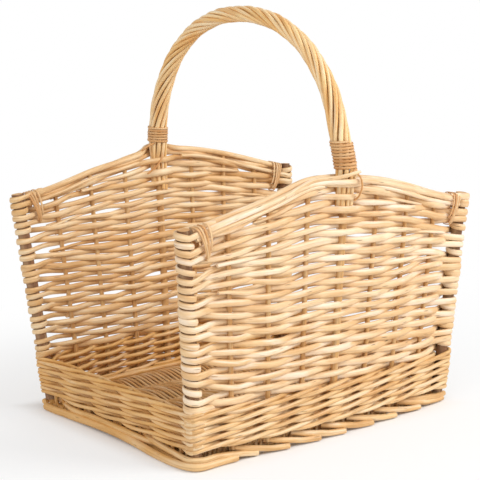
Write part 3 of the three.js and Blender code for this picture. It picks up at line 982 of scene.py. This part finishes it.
@dataclass
class LowWall:
    """The low wall of rounds of three-rod waling, and the short stakes of the ends."""

    form: Form
    rounds: int = 5
    rods: int = 3
    rod_radius: float = 3.0
    rod_flat: float = 0.92
    stake_radius: float = 4.5
    stake_below: float = 3.0
    post_radius: float = 7.5
    climb: float = 2.8
    round_post: Triple = (-0.13, 0.0, 0.13)
    post_climb: float = 12.0
    seed: int = 11

    def wale(self) -> None:
        """Works each round: a rod passes before two stakes, climbing, and then behind one."""
        dice = random.Random(self.seed)
        mesh = RodMesh("waled_wall_rods", HONEY)
        total = self.form.total()
        pitch = (self.form.wall_high - self.form.wall_low) / self.rounds
        for level in range(self.rounds):
            for rod in range(self.rods):
                radius = self.rod_radius * dice.uniform(0.92, 1.06)
                points = []
                for station in range(total + 2):
                    phase = (station + rod + level) % 3
                    corner = station % total in self.form.corners()
                    core = self.post_radius if corner else self.stake_radius
                    out = (core + radius) * (-1 if phase == 0 else 1)
                    height = self.form.wall_low + pitch * (level + 0.5)
                    height += (0.0, -self.climb, self.climb)[phase] + dice.uniform(-0.5, 0.5)
                    for ahead in self.round_post if corner and phase else (0.0,):
                        rise = self.post_climb * ahead
                        points.append(self.form.round_walls(station + ahead, height + rise, out))
                path = flowing(points, 6)
                sizes = taper(len(path), radius * 1.04, radius * 0.9)
                flat = [size * self.rod_flat for size in sizes]
                mesh.add(Rod(path, sizes, flat, dice.uniform(0.2, 1.0)))
        mesh.place("wale_rod_lower", "wale_rod_middle", "wale_rod_upper")

    def end_stakes(self) -> None:
        """Sets the short stakes of both ends, cut off below the wall's top."""
        dice = random.Random(self.seed + 1)
        mesh = RodMesh("end_stakes", BUFF)
        sizes = [self.stake_radius] * 5
        for end in End:
            for stake in range(1, self.form.end_spaces):
                along = 2 * stake / self.form.end_spaces - 1
                path = []
                for step in range(5):
                    rise = self.form.wall_high - self.stake_below - self.form.stand
                    height = self.form.stand + rise * step / 4
                    length = self.form.half_length(height, end.value)
                    path.append(Vector((end.value * length, along * self.form.half_width(height), height)))
                mesh.add(Rod(path, sizes, sizes, dice.uniform(0.3, 0.9), Lay.FREE))
        mesh.place(*[f"{end.name.lower()}_end_stake_{stake}" for end in End for stake in range(1, 5)])

    def build(self) -> None:
        """Builds the wall and its stakes."""
        self.end_stakes()
        self.wale()


@dataclass
class Floor:
    """The woven floor: sticks along the basket and pairs of rods twined across them."""

    form: Form
    height: float = 17.8
    sticks: int = 5
    stick_radius: float = 4.4
    stick_end: int = 217
    stick_step: int = 31
    edge: float = 136.0
    rod_radius: float = 1.85
    rod_press: float = 0.9
    pairs: int = 56
    reach: float = 210.0
    seed: int = 21

    def build(self) -> None:
        """Lays the sticks and twines the pairs."""
        dice = random.Random(self.seed)
        sticks = RodMesh("floor_sticks", BUFF)
        gap = 2 * self.edge / (self.sticks - 1)
        places = range(-self.stick_end, self.stick_end + 1, self.stick_step)
        for stick in range(self.sticks):
            across = stick * gap - self.edge
            path = [Vector((x, across + dice.uniform(-0.8, 0.8), self.height)) for x in places]
            sizes = [self.stick_radius] * len(path)
            sticks.add(Rod(path, sizes, sizes, dice.uniform(0.2, 0.8)))
        sticks.place(*[f"floor_stick_{stick}" for stick in range(1, 6)])
        mesh = RodMesh("floor_twined_rods", FLOOR, 6)
        for pair in range(self.pairs):
            middle = -self.reach + 2 * self.reach * (pair + 0.5) / self.pairs
            for rod in range(2):
                self._twine(mesh, middle, gap, rod, dice)
        mesh.place("floor_weave")

    def _twine(self, mesh: RodMesh, middle: float, gap: float, rod: int, dice: random.Random) -> None:
        """Twines one rod of a pair over and under the sticks; its ends lie under the walls.

        Args:
            mesh: The mesh that takes it.
            middle: The pair's place along the basket.
            gap: Distance from stick to stick.
            rod: Which rod of the pair.
            dice: The floor's own irregularity.
        """
        lift = self.stick_radius + self.rod_radius - self.rod_press
        spread = self.reach / self.pairs / 4
        points = []
        for stick in range(self.sticks):
            over = 1 if (stick + rod) % 2 == 0 else -1
            aside = (spread if rod else -spread) + dice.uniform(-0.9, 0.9)
            points.append(Vector((middle + aside, stick * gap - self.edge, self.height + over * lift)))
        points = self._under(points[0], Side.FRONT)[::-1] + points + self._under(points[-1], Side.BACK)
        path = flowing(points, 6)
        butt = self.rod_radius * dice.uniform(0.94, 1.06)
        sizes = taper(len(path), butt, self.rod_radius * 0.92)
        mesh.add(Rod(path, sizes, sizes, dice.uniform(0.1, 0.9), Lay.FREE))

    def _under(self, point: Vector, side: Side) -> list[Vector]:
        """Gives the points by which a rod runs from its last stick to under a long wall.

        Args:
            point: The rod's point at that stick.
            side: The wall.

        Returns:
            Two points, the second the rod's end.
        """
        along = point.x / self.form.half_length(self.height, point.x)
        near = self.form.on_side(side, along, self.height, -12.0)
        end = self.form.on_side(side, along, self.height, -4.5)
        return [Vector((point.x, near.y, self.height + 0.5)), Vector((point.x, end.y, self.height - 2.0))]


@dataclass
class Foot:
    """The foot border: rods that come from under the wall and lie along it, each over the last.

    A laid rod is written as points: stake spaces ahead, distance outwards and height. Short stubs
    stand behind the laid rods, closer at the posts, and three rods run behind the stubs.
    """

    form: Form
    rod_radius: float = 4.4
    long_radius: float = 5.5
    stub_radius: float = 2.4
    stub_heights: Triple = (25.0, 14.0, 2.6)
    stub_insides: Pair = (6.5, -2.5)
    stubs: int = 120
    corner_stubs: tuple[float, ...] = (-0.6, -0.36, -0.12, 0.12, 0.36, 0.6)
    corner_inside: float = 9.0
    heel_heights: Triple = (17.0, 10.0, 2.6)
    backing: tuple[Pair, ...] = ((4.6, -13.0), (12.6, -13.0), (23.0, -11.4))
    backing_steps: int = 208
    # The darkest tone: painted shade for rods that stand in the shadow under the wall.
    shade_tone: float = 0.1
    stroke: Laid = ((-0.12, -5.0, 16.0), (0.06, 0.5, 14.6), (0.3, 4.8, 12.4), (0.6, 6.2, 9.4),
                    (0.95, 8.0, 6.2), (1.4, 10.4, 4.7))
    last_stroke: Laid = ((-1.3, -5.0, 17.0), (-1.1, 0.5, 15.6), (-0.8, 4.8, 14.0), (-0.5, 6.4, 12.4),
                         (-0.2, 8.4, 10.8), (0.06, 13.5, 9.6))
    long_rod: Laid = ((0.14, 13.6, 5.6), (0.45, 13.0, 5.6), (0.75, 11.8, 5.8), (1.2, 11.0, 6.2),
                      (1.9, 11.0, 8.2), (2.45, 11.0, 8.6), (3.05, 11.6, 7.6), (3.5, 13.2, 6.2),
                      (3.9, 15.8, 5.5), (4.3, 17.8, 5.4), (4.7, 18.4, 5.4), (4.9, 17.2, 5.4),
                      (5.1, 15.4, 5.3), (5.5, 10.0, 5.2), (6.0, 8.0, 5.2))
    second_rod: Laid = ((3.25, -6.0, 16.0), (3.5, 1.0, 15.2), (3.9, 5.4, 14.4), (4.5, 9.0, 13.2),
                        (4.88, 12.4, 12.6), (5.12, 12.0, 12.6), (5.5, 7.6, 12.2), (6.1, 6.4, 8.6),
                        (6.6, 7.0, 4.7))
    fill_rod: Laid = ((0.4, -4.0, 13.0), (0.7, 2.0, 13.0), (1.05, 6.6, 13.4), (1.9, 8.0, 15.6),
                      (2.6, 8.2, 15.8), (3.2, 7.4, 14.4), (3.6, 5.0, 12.6), (4.0, 0.0, 12.0))
    back_rod: Laid = ((0.05, -1.5, 4.6), (2.5, -1.5, 4.6), (3.7, 0.5, 4.6), (4.2, 5.5, 4.6),
                      (4.7, 8.4, 4.6), (5.0, 8.0, 4.6))
    seed: int = 31

    def build(self) -> None:
        """Lays the rods right round the basket, the stubs behind them and the rods that back those."""
        dice = random.Random(self.seed)
        mesh = RodMesh("foot_border_rods", HONEY)
        for corner, late in ((0, 0.35), (self.form.side_spaces + self.form.end_spaces, 0.0)):
            for stroke in range(1, 8):
                start = corner + (stroke + 0.3) * self.form.side_spaces / 9 + dice.uniform(-0.07, 0.07)
                radius = self.rod_radius * dice.uniform(0.95, 1.1)
                self._lay(mesh, start, self.stroke, radius, dice.uniform(0.3, 1.0))
            turn = corner + self.form.side_spaces
            self._lay(mesh, turn, self.last_stroke, self.rod_radius, dice.uniform(0.3, 1.0))
            self._lay(mesh, turn + late, self.long_rod, self.long_radius, dice.uniform(0.4, 0.8))
            self._lay(mesh, turn, self.second_rod, self.rod_radius, dice.uniform(0.4, 1.0))
            self._lay(mesh, turn, self.fill_rod, self.rod_radius, dice.uniform(0.3, 0.8))
            # The back rod takes the shade tone: painted shade under the wale.
            self._lay(mesh, turn, self.back_rod, self.rod_radius, self.shade_tone)
        self._back_up(mesh, dice)
        mesh.place(*[f"{wall}_foot_rod_{rod}"
                     for wall in ("front", "back", "left", "right") for rod in (1, 2)])

    def _lay(self, mesh: RodMesh, start: float, laid: Laid, radius: float, tone: float) -> None:
        """Lays one rod along the foot.

        Args:
            mesh: The mesh that takes it.
            start: Stake spaces from the front left post to where its points are counted from.
            laid: The rod's points.
            radius: Its radius at the butt.
            tone: Its tone.
        """
        points = [self.form.round_walls(start + ahead, height, out) for ahead, out, height in laid]
        path = flowing(points, 8)
        sizes = taper(len(path), radius, radius * 0.9)
        mesh.add(Rod(path, sizes, sizes, tone))

    def _back_up(self, mesh: RodMesh, dice: random.Random) -> None:
        """Sets the stubs, a heel below each post and the rods behind them.

        Args:
            mesh: The mesh that takes them.
            dice: The foot's own irregularity.
        """
        walls = self.form.round_walls
        total = self.form.total()
        for stub in range(self.stubs):
            station = total * stub / self.stubs + dice.uniform(-0.05, 0.05)
            inside = self.stub_insides[0 if station % (total / 2) < self.form.side_spaces else 1]
            path = [walls(station, height, -inside - dice.uniform(0, 2)) for height in self.stub_heights]
            sizes = [self.stub_radius * dice.uniform(0.8, 1.15)] * 3
            # Stubs take only the darker half of the tones: painted shade for their place under the wale.
            mesh.add(Rod(path, sizes, sizes, dice.uniform(0.0, 0.5), Lay.FREE))
        # Corner stubs and heels take the shade tone: painted shade where the wall's underside lies in
        # shadow.
        for corner in self.form.corners():
            sizes = [self.stub_radius * 1.1] * 3
            for ahead in self.corner_stubs:
                path = [walls(corner + ahead, height, -self.corner_inside) for height in self.stub_heights]
                mesh.add(Rod(path, sizes, sizes, self.shade_tone, Lay.FREE))
            path = [walls(corner, height, -1.0) for height in self.heel_heights]
            sizes = [self.stub_radius * 2.4] * 3
            mesh.add(Rod(path, sizes, sizes, self.shade_tone, Lay.FREE))
        # The backing rods take the shade tone: painted shade behind the stubs.
        for height, out in self.backing:
            steps = range(self.backing_steps + 1)
            path = [walls(total * step / self.backing_steps, height, out) for step in steps]
            sizes = [self.rod_radius * 0.9] * len(path)
            mesh.add(Rod(path, sizes, sizes, self.shade_tone))


@dataclass
class Handle:
    """The bow handle: a core, strands wound round it, and the bindings above the rims.

    A turn along the bow runs from 0 at the front spring to pi at the back spring. Beyond these it
    counts hundreds of millimetres down the legs.
    """

    form: Form
    spring: float = 347.0
    half_span: float = 192.0
    rise: float = 194.0
    spring_span: float = 195.8
    spring_rise: float = 55.0
    shift: float = 3.6
    fullness: float = 0.93
    core_radius: float = 5.2
    strands: int = 9
    strand_radius: float = 2.75
    lay_radius: float = 8.3
    leg_radius: float = 6.6
    turns: float = 2.8
    opening: float = 0.28
    bow_steps: int = 48
    leg_steps: int = 14
    strand_steps: int = 130
    loose_ends: tuple[tuple[Side, float, float], ...] = ((Side.FRONT, 11.0, 0.27), (Side.BACK, -11.0, 0.16))
    skein_cover: float = 0.52
    skein_half: float = 1.0
    lash_half: Pair = (1.3, 1.6)
    tails: Pair = (45.0, 66.0)
    front_lashes: tuple[Laid, ...] = (
        ((4.0, -207.5, 355.0), (6.5, -210.0, 349.0), (8.5, -214.5, 343.0), (9.5, -215.8, 336.0),
         (9.8, -215.4, 329.0), (8.0, -212.0, 319.5), (5.5, -207.0, 314.0)),)
    back_lashes: tuple[Laid, ...] = (
        ((-9.0, 190.0, 352.0), (-20.0, 189.0, 349.0), (-30.0, 192.0, 343.0), (-36.0, 198.0, 335.0)),
        ((-1.0, 183.0, 336.0), (-6.0, 180.5, 327.0), (-17.0, 180.0, 317.0), (-29.0, 182.0, 309.0)))
    seed: int = 41

    def on_bow(self, turn: float, out: float, aside: float) -> Vector:
        """Gives a point of the bow.

        Args:
            turn: The turn along it.
            out: Distance outwards from the bow's axis.
            aside: Distance along X.

        Returns:
            The point.
        """
        if turn < 0 or turn > math.pi:
            side = Side.FRONT if turn < 0 else Side.BACK
            down = (-turn if turn < 0 else turn - math.pi) * 100
            point = self.form.on_side(side, 0.0, self.spring - down, out)
            point.x += aside
            return point
        here = self.axis(turn)
        ahead = self.axis(turn + 0.002) - self.axis(turn - 0.002)
        normal = Vector((0.0, -ahead.z, ahead.y)).normalized()
        return here + out * normal + Vector((aside, 0.0, 0.0))

    def axis(self, turn: float) -> Vector:
        """Gives a point of the arch's own line, fuller than an ellipse.

        Args:
            turn: The turn along it.

        Returns:
            The point.
        """
        up = self.rise * signed_power(math.sin(turn), self.fullness)
        foot = 1 - ease(up, 0.0, self.spring_rise)
        reach = self.half_span + (self.spring_span - self.half_span) * foot
        across = -reach * signed_power(math.cos(turn), self.fullness) + self.shift * (1 - foot)
        return Vector((0.0, across, self.spring + up))

    def flare(self, turn: float) -> float:
        """Gives how much the bundle opens towards its bindings."""
        return 1.0 + self.opening * ease(abs(turn - math.pi / 2), 0.5, 1.55)

    def bow(self) -> None:
        """Bends the core, whose legs stand in the panels as their middle stakes."""
        mesh = RodMesh("handle_core", BUFF)
        leg = (self.spring - self.form.stand) / 100
        down = range(self.leg_steps)
        turns = [-leg + leg * step / self.leg_steps for step in down]
        turns += [math.pi * step / self.bow_steps for step in range(self.bow_steps + 1)]
        turns += [math.pi + leg * (step + 1) / self.leg_steps for step in down]
        path = [self.on_bow(turn, 0.0, 0.0) for turn in turns]
        sizes = [self.core_radius] * len(path)
        mesh.add(Rod(path, sizes, sizes, 0.55, Lay.FREE))
        mesh.place("handle_bow")

    def strand_rods(self) -> None:
        """Winds the strands round the core; their ends run down the legs into the weave."""
        dice = random.Random(self.seed)
        mesh = RodMesh("handle_strands", GOLD)
        for strand in range(self.strands):
            first = 2 * math.pi * strand / self.strands
            tails = [tail * dice.uniform(0.8, 1.05) / 100 for tail in self.tails]
            path, sizes = [], []
            for step in range(self.strand_steps + 1):
                turn = -tails[0] + (math.pi + tails[0] + tails[1]) * step / self.strand_steps
                share = ease(turn, 0.0, math.pi) * 0.45 + 0.55 * clamp(turn / math.pi)
                angle = first + 2 * math.pi * self.turns * share
                below = ease(max(-turn, turn - math.pi), 0.0, 0.2)
                wide = self.lay_radius * self.flare(turn)
                deep = wide + (self.leg_radius - wide) * below
                path.append(self.on_bow(turn, deep * math.cos(angle), wide * math.sin(angle)))
                sizes.append(self.strand_radius * (1.02 - 0.12 * math.cos(first * 3 + step * 0.05)))
            mesh.add(Rod(path, sizes, sizes, dice.uniform(0.2, 1.0), Lay.FREE))
        for side, aside, length in self.loose_ends:
            path = []
            for step in range(9):
                turn = 0.03 + (length - 0.03) * step / 8
                turn = turn if side is Side.FRONT else math.pi - turn
                path.append(self.on_bow(turn, 5.0 + 0.4 * step, aside * (1 - 0.05 * step)))
            mesh.add(Rod(path, taper(9, 2.9, 1.4), taper(9, 2.9, 0.5), 0.7, Lay.FREE))
        mesh.place(*[f"handle_strand_{strand}" for strand in range(1, 7)])

    def binding(self, side: Side, turns: int, pitch: float, lashes: tuple[Laid, ...]) -> None:
        """Winds split willow tightly round the strands above a rim and ties it down over the rim.

        Args:
            side: The leg.
            turns: Turns of the binding.
            pitch: Rise of each turn.
            lashes: Points of the strips that tie it down.
        """
        mesh = RodMesh(f"{side.name.lower()}_handle_skein", SKEIN, 6)
        path, steps = [], 24
        for step in range(turns * steps + 1):
            angle = 2 * math.pi * step / steps
            up = (4.0 + pitch * step / steps) / self.rise
            radius = self.lay_radius * self.flare(0.0) + self.strand_radius + 0.7
            radius += 0.25 * math.sin(angle * 0.37 + turns)
            turn = up if side is Side.FRONT else math.pi - up
            level = Vector((radius * math.sin(angle), side.value * radius * math.cos(angle), 0.0))
            path.append(self.on_bow(turn, 0.0, 0.0) + level)
        mesh.add(Rod(path, [pitch * self.skein_cover] * len(path), [self.skein_half] * len(path), 0.45))
        for lash in lashes:
            path = flowing([Vector(point) for point in lash], 6)
            heights, widths = [[half] * len(path) for half in self.lash_half]
            mesh.add(Rod(path, heights, widths, 0.3, Lay.FREE))
        mesh.place(f"{side.name.lower()}_handle_binding")

    def build(self) -> None:
        """Builds the handle's pieces."""
        self.bow()
        self.strand_rods()
        self.binding(Side.FRONT, 9, 3.6, self.front_lashes)
        self.binding(Side.BACK, 6, 3.3, self.back_lashes)


@dataclass
class Studio:
    """The plain pale floor, soft light and the camera at the photograph's angle."""

    eye: Triple = (-1.2322, -1.4490, 0.5936)
    aim: Triple = (-0.0063, 0.0018, 0.2349)
    lens: float = 105.76
    sensor: float = 36.0
    middle: Triple = (0.0, 0.0, 0.25)
    floor_size: float = 30.0
    floor_grey: float = 0.93
    ground: Pair = (1.2, 0.97)
    white: tuple[Pair, ...] = ((0.175, 0.0), (0.22, 0.6), (0.75, 1.0))
    levels: Pair = (0.55, 1.0)

    def floor(self) -> None:
        """Lays a wide pale floor."""
        mesh = bmesh.new()
        bmesh.ops.create_grid(mesh, x_segments=1, y_segments=1, size=self.floor_size)
        data = bpy.data.meshes.new("studio_floor")
        mesh.to_mesh(data)
        mesh.free()
        data.materials.append(self._floor_surface())
        floor = bpy.data.objects.new("studio_floor", data)
        bpy.context.scene.collection.objects.link(floor)

    def _floor_surface(self) -> bpy.types.Material:
        """Makes the floor's surface, which the camera sees as white away from the basket.

        Returns:
            The material.
        """
        surface = bpy.data.materials.new("studio_floor")
        surface.use_nodes = True
        nodes = Nodes(surface.node_tree)
        shader = nodes.tree.nodes["Principled BSDF"]
        grey = (self.floor_grey, self.floor_grey, self.floor_grey, 1.0)
        nodes.fill(shader, {"Base Color": grey, "Roughness": 0.9, "Specular IOR Level": 0.1})
        place = nodes.add("TexCoord").outputs["Object"]
        stretch = (1 / self.ground[0], 1 / self.ground[1], 1.0)
        scaled = nodes.value("Mapping", {"Vector": place, "Scale": stretch})
        away = nodes.value("VectorMath", {0: scaled}, operation="ABSOLUTE")
        sides = nodes.add("SeparateXYZ", {0: away}).outputs
        further = nodes.value("Math", {0: sides["X"], 1: sides["Y"]}, operation="MAXIMUM")
        share = nodes.ramp(further, [(stop, (level,) * 3) for stop, level in self.white], "EASE")
        seen = nodes.value("Math", {0: share, 1: nodes.seeing_rays()}, operation="MULTIPLY")
        white = nodes.value("Emission", {})
        mix = nodes.value("MixShader", {0: seen, 1: shader.outputs[0], 2: white})
        nodes.fill(nodes.tree.nodes["Material Output"], {"Surface": mix})
        return surface

    def lamp(self, name: str, place: Triple, size: float, power: float) -> None:
        """Hangs a large soft lamp that faces the basket.

        Args:
            name: The lamp's name.
            place: Where it hangs, in metres.
            size: Its width.
            power: Its power in watts.
        """
        light = bpy.data.lights.new(name, "AREA")
        light.size = size
        light.energy = power
        self._stand(bpy.data.objects.new(name, light), place, self.middle)

    def _stand(self, thing: bpy.types.Object, place: Triple, aim: Triple) -> None:
        """Stands a lamp or the camera at a place, turned to a point.

        Args:
            thing: The lamp or camera.
            place: Where it stands.
            aim: The point that it faces.
        """
        thing.location = place
        thing.rotation_euler = (Vector(aim) - Vector(place)).to_track_quat("-Z", "Y").to_euler()
        bpy.context.scene.collection.objects.link(thing)

    def world(self) -> None:
        """Lights the scene evenly and shows white to the camera."""
        world = bpy.data.worlds.new("studio_world")
        world.use_nodes = True
        nodes = Nodes(world.node_tree)
        level = nodes.value("MapRange", {0: nodes.seeing_rays(), 3: self.levels[0], 4: self.levels[1]})
        back = nodes.tree.nodes["Background"]
        nodes.fill(back, {"Color": (1.0, 1.0, 1.0, 1.0), "Strength": level})
        bpy.context.scene.world = world

    def camera(self) -> None:
        """Sets the camera."""
        data = bpy.data.cameras.new("photo_camera")
        data.lens = self.lens
        data.sensor_width = self.sensor
        camera = bpy.data.objects.new("photo_camera", data)
        self._stand(camera, self.eye, self.aim)
        bpy.context.scene.camera = camera

    def build(self) -> None:
        """Sets up floor, light and camera."""
        self.camera()
        self.floor()
        self.world()
        self.lamp("key_lamp", (1.5, -2.2, 2.0), 1.6, 67.0)
        self.lamp("fill_lamp", (-2.4, -1.2, 1.5), 2.0, 26.0)
        bpy.context.scene.view_settings.view_transform = "Standard"


def main() -> None:
    """Builds the studio and the basket in order."""
    logging.basicConfig(level=logging.INFO)
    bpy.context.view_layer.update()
    Studio().build()
    form = Form()
    for side in Side:
        # The back panel takes the shaded copy of the pale willow: painted shade on its inside.
        Panel(form, side, PALE if side is Side.FRONT else PALE_IN_SHADE).build()
    LowWall(form).build()
    Floor(form).build()
    Foot(form).build()
    Handle(form).build()


if __name__ == "__main__":
    main()
